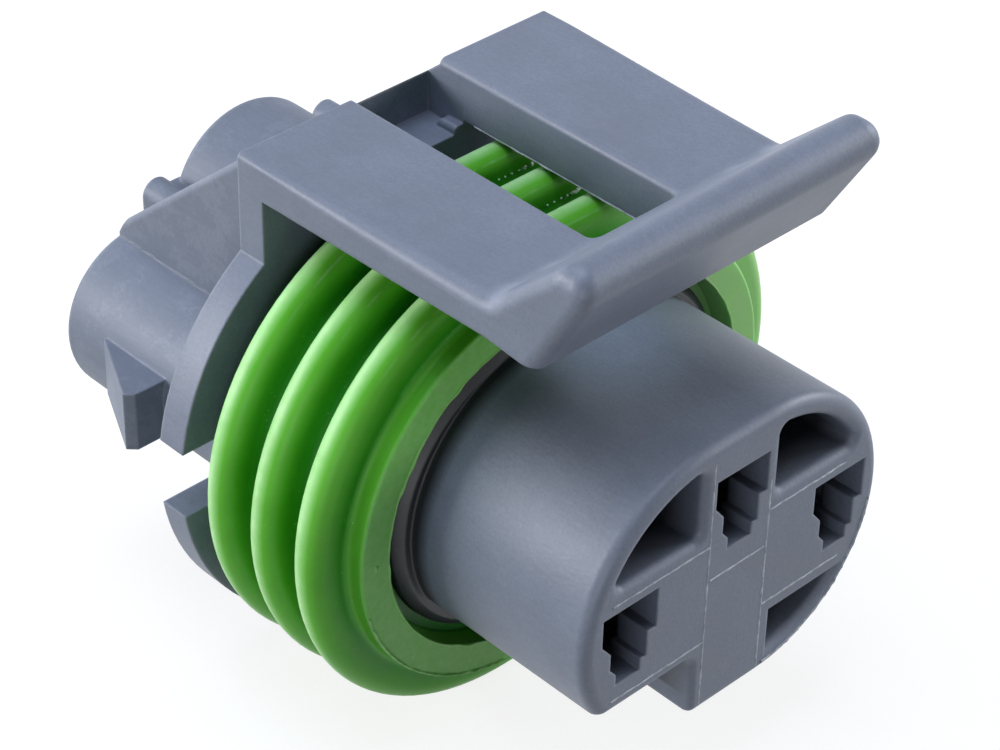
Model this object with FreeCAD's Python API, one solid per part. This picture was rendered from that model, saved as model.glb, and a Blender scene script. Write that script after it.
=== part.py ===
"""Sealed three-way connector, receptacle side, with a green ring seal and a lift-to-release latch.

Frame: millimetres, origin at the centre of the nose's front face, +X out of that face towards
the mating half, +Z up to the latch, +Y to the right when looking back along -X from the mate.
"""
import FreeCAD, Part

import math
import os

V = FreeCAD.Vector
X_AXIS = V(1, 0, 0)
Y_AXIS = V(0, 1, 0)
Z_AXIS = V(0, 0, 1)

# Lengths along the mating axis
nose_length = 9.5
seal_seat_length = 8.55
flange_thickness = 1.42
silo_length = 10.1

# Obround outlines: a half pitch between the two arc centres along Y, and an arc radius
nose_pitch = 1.75
nose_radius = 6.6
body_pitch = 2.2
boss_radius = 6.9
flange_radius = 10.65

# Nose details
nose_rim_rounding = 0.5
ring_wall = 0.95
bar_top = 2.45
bar_bottom = -3.45
column_half_width = 2.15
pocket_depth = 8.6
pocket_corner = 0.35
pocket_mouth = 0.42
notch_corner = 0.6
notch_edge = 0.3

# Terminal cavities: side ones sit low, the middle one high
cavity_pitch = 6.0
side_cavity_z = 0.1
middle_cavity_z = 3.72
front_wall = 1.6
side_opening_inset = 0.1
side_opening_lift = 0.2
opening_top = 1.15
opening_upper_half = 1.48
opening_upper_ledge = -0.75
opening_upper_slant = 0.6
opening_middle_half = 1.0
opening_lower_ledge = -1.95
opening_lower_slant = 0.4
opening_lower_half = 0.67
opening_bottom = -2.5
channel_width = 3.2
channel_top = 1.35
channel_bottom = -2.35
channel_length = 12.0
middle_bore_radius = 2.4
silo_bore_radius = 2.85
silo_bore_length = 10.3
silo_wall = 1.08
silo_rim_rounding = 0.45

# Boss and flange
boss_chamfer = 0.4
slot_top = 1.67
slot_bottom = -1.45
web_thickness = 1.3

# Shoulders that carry the latch
shoulder_half_width = 8.28
latch_top = 13.19
crossbar_top = 10.45
crossbar_nub_width = 0.5
crossbar_nub_height = 0.35
crossbar_nub_inset = 0.4

# Gussets behind the latch
gusset_outer = 6.9
gusset_thickness = 1.3
gusset_rear_inset = 0.25
gusset_rear_lean = 0.4
gusset_crease_height = 4.1
gusset_rear_height = 4.88
gusset_slope_top = 12.95
gusset_edge = 0.3
back_wall_thickness = 1.4
back_wall_notch = 0.7

# Rear ribs and side catches
rib_place = 4.7
rib_thickness = 1.4
rib_top = 5.72
rib_link_drop = 0.5
rib_length = 1.8
catch_top = 1.3
catch_height = 2.8
catch_reach = 1.76
catch_front_from_flange = 3.4
catch_length = 3.9
catch_crest = 0.36
catch_bite = 1.2

# Latch
plate_thickness = 1.55
window_half_width = 2.28
window_end_wall = 0.22
window_corner = 0.45
window_edge = 0.3
lip_depth = 2.25
lip_width = 0.9
latch_reach = 12.1
tab_rise = 2.94
tab_back_angle = 42.0
tab_front_angle = 59.0
tab_rim_radius = 0.95
tab_bottom_drop = 0.3
tab_fold_radius = 0.9
tab_half_width = 7.95
tab_top_corner = 1.0
tab_crest_clearance = 0.02
tab_end_rounding = 0.65
plate_edge = 0.25

# Ring seal
seal_standoff = 1.2
rib_radius = 0.75
rib_pitch = 2.62
rib_crest = 10.7
rib_flank = 0.35
rib_count = 3
seal_gap = 0.03
collar_radius = 8.95
collar_length = 0.87
collar_root = 0.3
collar_lip = 0.15
mouth_radius = 7.55
mouth_depth = 0.95

# Terminals, folded from strip
sheet = 0.3
terminal_setback = 3.4
box_length = 6.2
box_width = 2.4
box_height = 3.0
terminal_clearance = 0.05
neck_length = 1.7
neck_width = 1.2
core_barrel_length = 2.2
core_barrel_radius = 0.95
seal_barrel_length = 2.4
barrel_step = 0.9
barrel_lift = 0.02
spring_gap = 0.9
tang_length = 1.6
tang_rise = 0.42
tang_width = 1.0

# Cable seals
cable_neck_radius = 1.35
cable_neck_length = 3.6
cable_rib_count = 3
cable_rib_pitch = 2.3
cable_rib_radius = 0.55
cable_core_radius = 2.05
cable_seal_gap = 0.03
wire_hole_radius = 0.85
cable_tail = 0.7

# Stations worked out from the lengths above
face_x = 0.0
boss_front_x = face_x - nose_length
flange_front_x = boss_front_x - seal_seat_length
flange_rear_x = flange_front_x - flange_thickness
rear_x = flange_rear_x - silo_length
cavities = {
    "left": (-cavity_pitch, side_cavity_z),
    "middle": (0.0, middle_cavity_z),
    "right": (cavity_pitch, side_cavity_z),
}


def block(x0, x1, y0, y1, z0, z1):
    """A box between two opposite corners."""
    return Part.makeBox(x1 - x0, y1 - y0, z1 - z0, V(x0, y0, z0))


def rod(x0, x1, y, z, radius):
    """A round bar along X."""
    return Part.makeCylinder(radius, x1 - x0, V(x0, y, z), X_AXIS)


def prism(points, direction):
    """A closed polygon swept along a vector."""
    outline = Part.makePolygon(points + [points[0]])
    return Part.Face(outline).extrude(direction)


def side_profile(points, y0, y1):
    """A polygon of (x, z) points, as wide as y0 to y1."""
    return prism([V(x, y0, z) for x, z in points], V(0, y1 - y0, 0))


def front_profile(points, x0, x1):
    """A polygon of (y, z) points, as long as x0 to x1."""
    return prism([V(x0, y, z) for y, z in points], V(x1 - x0, 0, 0))


def obround(x0, x1, pitch, radius):
    """A bar along X whose section is two half circles joined by flats above and below."""
    ends = rod(x0, x1, -pitch, 0, radius).fuse(rod(x0, x1, pitch, 0, radius))
    return ends.fuse(block(x0, x1, -pitch, pitch, -radius, radius)).removeSplitter()


def edges_where(shape, test):
    """The edges of a shape whose centre and ends pass a test."""
    return [edge for edge in shape.Edges if test(edge)]


def in_plane(edge, axis, value):
    """Whether an edge lies in the plane axis = value."""
    box = edge.BoundBox
    low, high = {"x": (box.XMin, box.XMax), "y": (box.YMin, box.YMax), "z": (box.ZMin, box.ZMax)}[axis]
    return abs(low - value) < 1e-4 and abs(high - value) < 1e-4


def along(edge, axis):
    """Whether an edge is straight and runs along one axis."""
    if edge.Degenerated or not isinstance(edge.Curve, Part.Line):
        return False
    direction = edge.Curve.Direction
    return abs(direction.dot(axis)) > 0.999


def round_ended_ring(outline, pitch):
    """Sweep an (x, radius) outline face round an obround: two half turns and two straights."""
    right = outline.copy()
    right.translate(V(0, pitch, 0))
    right = right.revolve(V(0, pitch, 0), X_AXIS, -180)
    left = outline.copy()
    left.translate(V(0, -pitch, 0))
    left = left.revolve(V(0, -pitch, 0), X_AXIS, 180)
    ring = right.fuse(left)
    top = outline.copy()
    top.translate(V(0, -pitch, 0))
    top = top.extrude(V(0, 2 * pitch, 0))
    bottom = top.mirror(V(0, 0, 0), Z_AXIS)
    return ring.fuse([top, bottom]).removeSplitter()


def nose():
    """The obround nose: a rounded rim, three corner pockets and one corner cut right away."""
    bar = obround(boss_front_x - 1.0, face_x, nose_pitch, nose_radius)
    rim = edges_where(bar, lambda edge: in_plane(edge, "x", face_x))
    bar = bar.makeFillet(nose_rim_rounding, rim)
    for pocket in corner_pockets():
        bar = bar.cut(pocket)
    mouths = edges_where(bar, on_a_pocket_mouth)
    bar = bar.makeFillet(pocket_mouth, mouths)
    far = nose_radius * 2
    notch = block(boss_front_x, face_x + 1, -far, -column_half_width, -far, bar_bottom)
    inner = edges_where(
        notch,
        lambda edge: along(edge, X_AXIS) and edge.BoundBox.YMax > -column_half_width - 0.01
        and edge.BoundBox.ZMax > bar_bottom - 0.01,
    )
    bar = bar.cut(notch.makeFillet(notch_corner, inner))
    corners = edges_where(
        bar,
        lambda edge: in_plane(edge, "x", face_x) and edge.BoundBox.ZMax < bar_bottom + 0.01
        and edge.BoundBox.YMax < -column_half_width + 0.01,
    )
    return bar.makeFillet(notch_edge, corners)


def on_a_pocket_mouth(edge):
    """Whether an edge of the nose's face belongs to a corner pocket."""
    if not in_plane(edge, "x", face_x):
        return False
    box = edge.BoundBox
    reach = nose_radius - ring_wall + 0.01
    inside = box.YMax < nose_pitch + reach and box.YMin > -nose_pitch - reach
    inside = inside and box.ZMax < reach and box.ZMin > -reach
    middle = edge.CenterOfMass
    high = middle.z > bar_top - 0.01
    curved = isinstance(edge.Curve, Part.Circle)
    low = curved and middle.z < bar_bottom + 0.01 and middle.y > column_half_width - 0.01
    return inside and (high or low)


def corner_pockets():
    """Two pockets above the bar and one below it, following the nose's outline inside its wall."""
    x0 = face_x - pocket_depth
    inner = obround(x0, face_x, nose_pitch, nose_radius - ring_wall)
    far = nose_radius * 2
    w = column_half_width
    quarters = [
        block(x0, face_x, -far, -w, bar_top, far),
        block(x0, face_x, w, far, bar_top, far),
        block(x0, face_x, w, far, -far, bar_bottom),
    ]
    pockets = [inner.common(quarter) for quarter in quarters]
    for number in (0, 1):
        creases = edges_where(pockets[number], lambda edge: along(edge, X_AXIS))
        pockets[number] = pockets[number].makeFillet(pocket_corner, creases)
    return pockets


def boss():
    """The larger obround that the ring seal sits on, with a small lead at its front edge."""
    bar = obround(flange_rear_x, boss_front_x, body_pitch, boss_radius)
    lead = edges_where(bar, lambda edge: in_plane(edge, "x", boss_front_x))
    return bar.makeChamfer(boss_chamfer, lead)


def flange():
    """The stop plate: an obround disc, shoulders up to the latch, and a slot in each side."""
    x0 = flange_rear_x
    x1 = flange_front_x
    plate = obround(x0, x1, body_pitch, flange_radius)
    half = shoulder_half_width
    shoulders = block(x0, x1, -half, half, 0, latch_top)
    tops = edges_where(shoulders, lambda edge: along(edge, X_AXIS) and edge.BoundBox.ZMin > latch_top - 0.01)
    shoulders = shoulders.makeFillet(plate_edge, tops)
    inner = window_half_width
    shoulders = shoulders.cut(block(x0, x1, -inner, inner, crossbar_top, latch_top + 1))
    tops = edges_where(shoulders, lambda edge: is_window_top(edge, x0, x1))
    plate = plate.cut(block(x0, x1, -inner, inner, crossbar_top, latch_top + 1))
    plate = plate.fuse(shoulders.makeFillet(window_edge, tops))
    far = flange_radius * 2
    side_slots = block(x0, x1, -far, far, slot_bottom, slot_top)
    core = obround(x0, x1, body_pitch, boss_radius)
    return plate.cut(side_slots.cut(core)).removeSplitter()


def crossbar_nubs():
    """Two small round stops on the crossbar, against the shoulders."""
    top_z = crossbar_top + crossbar_nub_height
    nubs = []
    for side in (-1, 1):
        wall = side * window_half_width
        y0, y1 = sorted((wall, wall - side * crossbar_nub_width))
        x0 = flange_rear_x + crossbar_nub_inset
        foot = block(x0, flange_front_x, y0, y1, crossbar_top - crossbar_nub_height, top_z)
        free = edges_where(
            foot,
            lambda edge: in_plane(edge, "z", top_z)
            and abs(abs(edge.CenterOfMass.y) - window_half_width) > 0.1
            and edge.CenterOfMass.x < flange_front_x - 0.01,
        )
        nubs.append(foot.makeFillet(crossbar_nub_height * 0.7, free))
    return nubs


def silo(name):
    """The outer tube of one cavity, from the flange to the rear, with a rounded rim."""
    y, z = cavities[name]
    tube = rod(rear_x, flange_front_x, y, z, silo_bore_radius + silo_wall)
    rim = edges_where(tube, lambda edge: in_plane(edge, "x", rear_x))
    return tube.makeFillet(silo_rim_rounding, rim)


def rear_webs():
    """Webs that tie the three silos together behind the flange."""
    x0 = rear_x + silo_rim_rounding
    half = web_thickness / 2
    low = side_cavity_z - half
    high = side_cavity_z + half
    across = block(x0, flange_front_x, -cavity_pitch, cavity_pitch, low, high)
    upright = block(x0, flange_front_x, -half, half, side_cavity_z, middle_cavity_z)
    return [across, upright]


def gusset(side):
    """One sloping gusset from the end of an outer silo up to the back of the latch."""
    x0 = rear_x + gusset_rear_inset
    y0, y1 = sorted((side * gusset_outer, side * (gusset_outer - gusset_thickness)))
    outline = [
        (x0, side_cavity_z),
        (x0, gusset_crease_height),
        (x0 + gusset_rear_lean, gusset_rear_height),
        (flange_rear_x, gusset_slope_top),
        (flange_front_x, gusset_slope_top),
        (flange_front_x, side_cavity_z),
    ]
    web = side_profile(outline, y0, y1)
    sloping = edges_where(
        web,
        lambda edge: edge.BoundBox.ZMin > gusset_rear_height - 0.01
        and edge.BoundBox.XLength > silo_length / 2,
    )
    return web.makeFillet(gusset_edge, sloping)


def back_wall():
    """The wall between the gussets, behind the latch's root, its top in line with their slope."""
    run = silo_length - gusset_rear_inset - gusset_rear_lean
    slope = (gusset_slope_top - gusset_rear_height) / run
    x0 = flange_rear_x - back_wall_thickness
    outline = [
        (x0, middle_cavity_z),
        (x0, gusset_slope_top - slope * back_wall_thickness),
        (flange_rear_x, gusset_slope_top),
        (flange_rear_x, middle_cavity_z),
    ]
    inner = gusset_outer - gusset_edge
    wall = side_profile(outline, -inner, inner)
    notch_x = flange_rear_x - back_wall_notch
    half = window_half_width
    return wall.cut(block(notch_x, flange_rear_x, -half, half, crossbar_top, latch_top))


def rear_rib(side):
    """A short round-topped rib beside the middle silo."""
    half = rib_thickness / 2
    y = side * rib_place
    x1 = rear_x + rib_length
    foot = block(rear_x, x1, y - half, y + half, side_cavity_z + silo_bore_radius, rib_top - half)
    y0, y1 = sorted((y, side * (silo_bore_radius + silo_wall / 2)))
    link = block(rear_x, x1, y0, y1, rib_top - 2 * half, rib_top - rib_link_drop)
    return foot.fuse([rod(rear_x, x1, y, rib_top - half, half), link])


def side_catch(side):
    """The ramp on the outside of an outer silo, steep at its front, for a rear cover to snap on."""
    x1 = flange_rear_x - catch_front_from_flange
    x0 = x1 - catch_length
    skin = cavity_pitch + silo_bore_radius + silo_wall
    outline = [
        (x0, skin - catch_bite),
        (x0, skin - 0.02),
        (x1 - catch_crest, skin + catch_reach),
        (x1, skin + catch_reach - catch_crest),
        (x1, skin - catch_bite),
    ]
    points = [V(x, side * y, catch_top - catch_height) for x, y in outline]
    return prism(points, V(0, 0, catch_height))


def cavity_void(name):
    """What is hollow in one cavity: stepped opening, box channel, round bore and seal bore."""
    y, z = cavities[name]
    wall_x = face_x - front_wall
    channel_end = wall_x - channel_length
    mid_y = y - math.copysign(side_opening_inset, y) if y else y
    mid_z = z + side_opening_lift if y else z
    half = channel_width / 2
    void = block(channel_end, wall_x, mid_y - half, mid_y + half, z + channel_bottom, z + channel_top)
    outline = [
        (-opening_upper_half, opening_top),
        (opening_upper_half, opening_top),
        (opening_upper_half, opening_upper_ledge),
        (opening_middle_half, opening_upper_ledge),
        (opening_middle_half, opening_lower_ledge),
        (opening_lower_half, opening_lower_ledge),
        (opening_lower_half, opening_bottom),
        (-opening_lower_half, opening_bottom),
        (-opening_lower_half, opening_lower_ledge),
        (-opening_middle_half, opening_lower_ledge + opening_lower_slant),
        (-opening_middle_half, opening_upper_ledge),
        (-opening_upper_half, opening_upper_ledge + opening_upper_slant),
    ]
    mouth = [(mid_y + dy, mid_z + dz) for dy, dz in outline]
    void = void.fuse(front_profile(mouth, wall_x - 0.01, face_x + 1))
    bore_end = rear_x + silo_bore_length
    void = void.fuse(rod(bore_end, channel_end, y, z, middle_bore_radius))
    return void.fuse(rod(rear_x - 1, bore_end, y, z, silo_bore_radius))


def housing():
    """The one moulded body, without the part of the latch that swings."""
    body = nose().fuse([boss(), flange()])
    body = body.fuse([silo(name) for name in cavities])
    body = body.fuse(rear_webs() + [gusset(-1), gusset(1), back_wall()])
    body = body.fuse([rear_rib(-1), rear_rib(1), side_catch(-1), side_catch(1)] + crossbar_nubs())
    for name in cavities:
        body = body.cut(cavity_void(name))
    return body.removeSplitter()


def fold_inset():
    """How far before the bend the arc between plate and tab starts."""
    return tab_fold_radius * math.tan(math.radians(tab_back_angle) / 2)


def latch_outline():
    """The latch's section: the flat plate, the fold, and a wedge that leans forward."""
    back = math.radians(tab_back_angle)
    front = math.radians(tab_front_angle)
    bend = V(flange_front_x + latch_reach, 0, latch_top)
    slope = V(math.cos(back), 0, math.sin(back))
    under_z = latch_top - plate_thickness
    start = bend - V(fold_inset(), 0, 0)
    end = bend + slope * fold_inset()
    sag = tab_fold_radius * (1 - math.cos(back / 2))
    fold = start + V(tab_fold_radius * math.sin(back / 2), 0, sag)
    top_back = bend + slope * (tab_rise / math.sin(back))
    rim = top_back + V(math.sin(back), 0, -math.cos(back)) * tab_rim_radius
    rim_front = rim + V(math.sin(front), 0, -math.cos(front)) * tab_rim_radius
    middle = (back + front) / 2
    crest = rim + V(math.cos(middle), 0, math.sin(middle)) * tab_rim_radius
    bottom_z = under_z - tab_bottom_drop
    toe = V(rim_front.x - (rim_front.z - bottom_z) / math.tan(front), 0, bottom_z)
    under = V(bend.x, 0, under_z)
    root = V(flange_front_x, 0, latch_top)
    low = V(flange_front_x, 0, under_z)
    edges = [
        Part.LineSegment(root, start).toShape(),
        Part.Arc(start, fold, end).toShape(),
        Part.LineSegment(end, top_back).toShape(),
        Part.Arc(top_back, crest, rim_front).toShape(),
        Part.LineSegment(rim_front, toe).toShape(),
        Part.LineSegment(toe, under).toShape(),
        Part.LineSegment(under, low).toShape(),
        Part.LineSegment(low, root).toShape(),
    ]
    return Part.Face(Part.Wire(edges))


def between_latch_sides(low, top):
    """The room between the latch's sides, which close in a little forwards, upper corners round."""
    corners = [
        V(flange_front_x, -shoulder_half_width, low),
        V(face_x, -tab_half_width, low),
        V(face_x, tab_half_width, low),
        V(flange_front_x, shoulder_half_width, low),
    ]
    room = prism(corners, V(0, 0, top - low))
    long_tops = edges_where(
        room,
        lambda edge: in_plane(edge, "z", top) and edge.BoundBox.XLength > latch_reach,
    )
    return room.makeFillet(tab_top_corner, long_tops)


def latch_blank():
    """Plate and tab in one, their side edges rounded more and more towards the tab's front.

    The corner arcs start a little above the rim's crest, so the two cross and never just touch.
    """
    half = shoulder_half_width + 1
    blank = latch_outline()
    blank.translate(V(0, -half, 0))
    blank = blank.extrude(V(0, 2 * half, 0))
    box = blank.BoundBox
    room = between_latch_sides(box.ZMin - 1, box.ZMax + tab_crest_clearance)
    blank = blank.common(room).removeSplitter()
    for side in (-1, 1):
        edge = plate_side_edge(blank, side)
        runs_forward = edge.valueAt(edge.FirstParameter).x < edge.valueAt(edge.LastParameter).x
        radii = (plate_edge, tab_end_rounding) if runs_forward else (tab_end_rounding, plate_edge)
        blank = blank.makeFillet(*radii, [edge])
    return blank


def plate_side_edge(blank, side):
    """The long upper edge of the plate on one side."""
    found = edges_where(
        blank,
        lambda edge: in_plane(edge, "z", latch_top) and edge.BoundBox.XLength > latch_reach / 2
        and edge.CenterOfMass.y * side > 0,
    )
    return found[0]


def is_window_top(edge, x0, x1):
    """Whether an edge lies round the top of the latch's window, between two stations."""
    if edge.Degenerated or not in_plane(edge, "z", latch_top):
        return False
    box = edge.BoundBox
    inside = abs(edge.CenterOfMass.y) < window_half_width + 0.01
    return inside and box.XMin > x0 - 0.01 and box.XMax < x1 + 0.01 and not in_plane(edge, "x", x0)


def latch():
    """The swinging part of the latch: two arms round a window, and the lift tab."""
    x0 = flange_front_x
    body = latch_blank()
    window_end = x0 + latch_reach - window_end_wall
    inner = window_half_width
    for side in (-1, 1):
        y0, y1 = sorted((side * inner, side * (inner + lip_width)))
        lip = block(x0, window_end, y0, y1, latch_top - lip_depth, latch_top - plate_thickness)
        body = body.fuse(lip)
    window = block(x0 - 1, window_end, -inner, inner, latch_top - 2 * lip_depth, latch_top + 1)
    corners = edges_where(window, lambda edge: along(edge, Z_AXIS) and edge.BoundBox.XMin > window_end - 0.01)
    body = body.cut(window.makeFillet(window_corner, corners)).removeSplitter()
    tops = edges_where(body, lambda edge: is_window_top(edge, x0, window_end))
    return body.makeFillet(window_edge, tops)


def ring_outline():
    """The seal's section as (x, radius): three ribs, a smaller front collar, a plain bore."""
    rear = flange_front_x + seal_standoff
    crest_z = rib_crest - rib_radius
    valley = rib_pitch / 2 - rib_radius
    valley_z = crest_z - rib_flank
    inner = boss_radius + seal_gap
    x = rear
    points = V(x, 0, inner)
    edges = []

    def line_to(start, end):
        edges.append(Part.LineSegment(start, end).toShape())
        return end

    def arc_to(start, middle, end):
        edges.append(Part.Arc(start, middle, end).toShape())
        return end

    here = line_to(points, V(x, 0, crest_z))
    for number in range(rib_count):
        here = arc_to(here, V(x + rib_radius, 0, rib_crest), V(x + 2 * rib_radius, 0, crest_z))
        x = x + 2 * rib_radius
        if number < rib_count - 1:
            here = line_to(here, V(x, 0, valley_z))
            here = arc_to(here, V(x + valley, 0, valley_z - valley), V(x + 2 * valley, 0, valley_z))
            x = x + 2 * valley
            here = line_to(here, V(x, 0, crest_z))
    here = line_to(here, V(x, 0, collar_radius + collar_root))
    turn = collar_root * (1 - math.sqrt(0.5))
    here = arc_to(here, V(x + turn, 0, collar_radius + turn), V(x + collar_root, 0, collar_radius))
    front = x + collar_length
    here = line_to(here, V(front - collar_lip, 0, collar_radius))
    turn = collar_lip * (1 - math.sqrt(0.5))
    lip_end = V(front, 0, collar_radius - collar_lip)
    here = arc_to(here, V(front - turn, 0, collar_radius - turn), lip_end)
    here = line_to(here, V(front, 0, mouth_radius))
    here = line_to(here, V(front - mouth_depth, 0, mouth_radius - 0.2))
    here = line_to(here, V(front - mouth_depth, 0, inner))
    line_to(here, points)
    return Part.Face(Part.Wire(edges))


def ring_seal():
    """The silicone ring seal, one obround moulding with three lips."""
    return round_ended_ring(ring_outline(), body_pitch)


def open_barrel(x0, x1, y, floor_z, radius, wall_height):
    """A U of sheet, open at the top, that would be crimped round a wire or a seal's neck."""
    centre_z = floor_z + radius + barrel_lift
    outer = rod(x0, x1, y, centre_z, radius)
    outer = outer.fuse(block(x0, x1, y - radius, y + radius, centre_z, centre_z + wall_height))
    inner_r = radius - sheet
    inner = rod(x0, x1, y, centre_z, inner_r)
    inner = inner.fuse(block(x0, x1, y - inner_r, y + inner_r, centre_z, centre_z + wall_height))
    upper = block(x0, x1, y - 2 * radius, y + 2 * radius, centre_z + wall_height, centre_z + 3 * radius)
    return outer.cut(inner).cut(upper)


def terminal(name):
    """A receptacle terminal folded from one strip: box, neck, core barrel and seal barrel."""
    y, z = cavities[name]
    x1 = face_x - terminal_setback
    x0 = x1 - box_length
    floor = z + channel_bottom + terminal_clearance
    half = box_width / 2
    box = block(x0, x1, y - half, y + half, floor, floor + box_height)
    hollow = block(x0 - 1, x1 + 1, y - half + sheet, y + half - sheet, floor + sheet,
                   floor + box_height - sheet)
    corners = edges_where(box, lambda edge: along(edge, X_AXIS))
    body = box.makeFillet(sheet * 0.9, corners).cut(hollow)
    seam = sheet * 0.1
    body = body.cut(block(x0 - 1, x1 + 1, y + half * 0.3, y + half * 0.3 + seam,
                          floor + box_height - sheet - 0.1, floor + box_height + 0.1))
    spring = [
        (x1 - 0.15, floor + sheet * 0.9),
        (x1 - box_length * 0.45, floor + box_height - sheet - spring_gap - 0.25),
        (x1 - box_length * 0.85, floor + sheet * 0.9),
        (x1 - box_length * 0.85 + 0.45, floor + sheet * 0.9),
        (x1 - box_length * 0.45, floor + box_height - sheet - spring_gap - 0.5),
        (x1 - 0.55, floor + sheet * 0.9),
    ]
    body = body.fuse(side_profile(spring, y - half * 0.6, y + half * 0.6))
    top = floor + box_height
    tang = [
        (x0 + 0.9, top - 0.05),
        (x0 + 0.9 + tang_length, top - 0.05),
        (x0 + 0.9 + tang_length, top),
        (x0 + 0.9, top + tang_rise),
    ]
    body = body.fuse(side_profile(tang, y - tang_width / 2, y + tang_width / 2))
    neck_end = x0 - neck_length
    neck = neck_width / 2
    body = body.fuse(block(neck_end, x0 + 0.5, y - neck, y + neck, floor, floor + sheet))
    core_end = neck_end - core_barrel_length
    body = body.fuse(open_barrel(core_end, neck_end, y, floor, core_barrel_radius, 0.9))
    seal_radius = cable_neck_radius + sheet + terminal_clearance
    seal_floor = z - seal_radius
    step_end = core_end - barrel_step
    ramp = [
        (core_end + 0.2, floor),
        (core_end + 0.2, floor + sheet),
        (step_end - 0.2, seal_floor + sheet),
        (step_end - 0.2, seal_floor),
    ]
    body = body.fuse(side_profile(ramp, y - neck, y + neck))
    barrel = open_barrel(step_end - seal_barrel_length, step_end, y, seal_floor, seal_radius, 0.8)
    return body.fuse(barrel).removeSplitter()


def terminal_rear_x():
    """Where a terminal's seal barrel ends."""
    used = box_length + neck_length + core_barrel_length + barrel_step + seal_barrel_length
    return face_x - terminal_setback - used


def cable_seal(name):
    """A small ribbed seal: its neck lies in the terminal's barrel, its ribs fill the silo."""
    y, z = cavities[name]
    ribs_start = min(terminal_rear_x() - 0.3, rear_x + silo_bore_length - 0.2)
    neck_start = ribs_start + cable_neck_length
    crest = silo_bore_radius - cable_seal_gap
    rib_z = crest - cable_rib_radius
    edges = []
    x = ribs_start
    here = V(neck_start, y, z + wire_hole_radius)
    first = here

    def line_to(start, end):
        edges.append(Part.LineSegment(start, end).toShape())
        return end

    here = line_to(here, V(neck_start, y, z + cable_neck_radius))
    here = line_to(here, V(x, y, z + cable_neck_radius))
    here = line_to(here, V(x, y, z + cable_core_radius))
    for _ in range(cable_rib_count):
        side = cable_rib_pitch / 2 - cable_rib_radius
        here = line_to(here, V(x - side, y, z + cable_core_radius))
        here = line_to(here, V(x - side, y, z + rib_z))
        end = V(x - side - 2 * cable_rib_radius, y, z + rib_z)
        edges.append(Part.Arc(here, V(x - side - cable_rib_radius, y, z + crest), end).toShape())
        here = end
        x = x - cable_rib_pitch
        here = line_to(here, V(x + side, y, z + cable_core_radius))
        here = line_to(here, V(x, y, z + cable_core_radius))
    here = line_to(here, V(x - cable_tail, y, z + cable_core_radius))
    here = line_to(here, V(x - cable_tail, y, z + wire_hole_radius))
    line_to(here, first)
    outline = Part.Face(Part.Wire(edges))
    return outline.revolve(V(0, y, z), X_AXIS, 360)


def main():
    """Build every piece and write one STEP file for each."""
    pieces = {"housing": housing(), "latch": latch(), "ring_seal": ring_seal()}
    for name in cavities:
        pieces["terminal_" + name] = terminal(name)
        pieces["cable_seal_" + name] = cable_seal(name)
    os.makedirs("parts", exist_ok=True)
    for node, shape in pieces.items():
        shape.exportStep(f"parts/{node}.step")
        box = shape.BoundBox
        print(
            f"{node}: {len(shape.Solids)} solid, {shape.Volume:.1f} mm3, valid {shape.isValid()}, "
            f"x {box.XMin:.2f} to {box.XMax:.2f}, y {box.YMin:.2f} to {box.YMax:.2f}, "
            f"z {box.ZMin:.2f} to {box.ZMax:.2f}"
        )


main()
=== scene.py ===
# %% [markdown]
# # A sealed three-way connector, dressed over its solid model
#
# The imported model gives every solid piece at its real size, in metres and in its place. What the
# solids leave out is made here: the satin skin of the grey plastic, the soft green silicone, the
# thin marks that moulding leaves, and a small studio. The pieces could be drawn again as meshes, but
# then two models would have to agree, so the solids stay and are only dressed.

import math

import bpy
import numpy as np
from mathutils import Matrix, Vector


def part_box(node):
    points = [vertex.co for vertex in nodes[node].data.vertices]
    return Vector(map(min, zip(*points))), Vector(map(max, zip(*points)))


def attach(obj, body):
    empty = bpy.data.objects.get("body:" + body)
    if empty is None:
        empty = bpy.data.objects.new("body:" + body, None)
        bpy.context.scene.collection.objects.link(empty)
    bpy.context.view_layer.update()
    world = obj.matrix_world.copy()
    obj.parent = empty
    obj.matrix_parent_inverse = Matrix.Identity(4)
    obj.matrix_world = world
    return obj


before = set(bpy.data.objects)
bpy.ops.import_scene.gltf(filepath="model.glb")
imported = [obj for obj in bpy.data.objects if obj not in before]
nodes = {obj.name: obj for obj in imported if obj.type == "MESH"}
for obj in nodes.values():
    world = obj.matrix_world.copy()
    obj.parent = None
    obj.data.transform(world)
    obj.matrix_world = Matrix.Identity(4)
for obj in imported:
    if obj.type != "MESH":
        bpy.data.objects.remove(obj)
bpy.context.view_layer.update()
print("nodes:", sorted(nodes))

# %% [markdown]
# ## The camera
#
# The camera looks down on the nose's near corner. It could be moved by hand until the picture looks
# right, but the eye can't tell a small turn from a small shift. So its place, turn and lens were
# fitted beforehand to points along the object's edges and outlines. With azimuth a, elevation e and
# roll r, the way back from the object to the camera is (sin a cos e, -cos a cos e, sin e).

# %% Place the camera
MM = 0.001
CAMERA_PLACE = Vector((58.003, -69.825, 75.444)) * MM
CAMERA_AZIMUTH = math.radians(45.598)
CAMERA_ELEVATION = math.radians(36.384)
CAMERA_ROLL = math.radians(1.244)
SENSOR_WIDTH = 36.0
FOCAL_OVER_WIDTH = 3.0411
NEAREST_SEEN = 5 * MM


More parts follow.
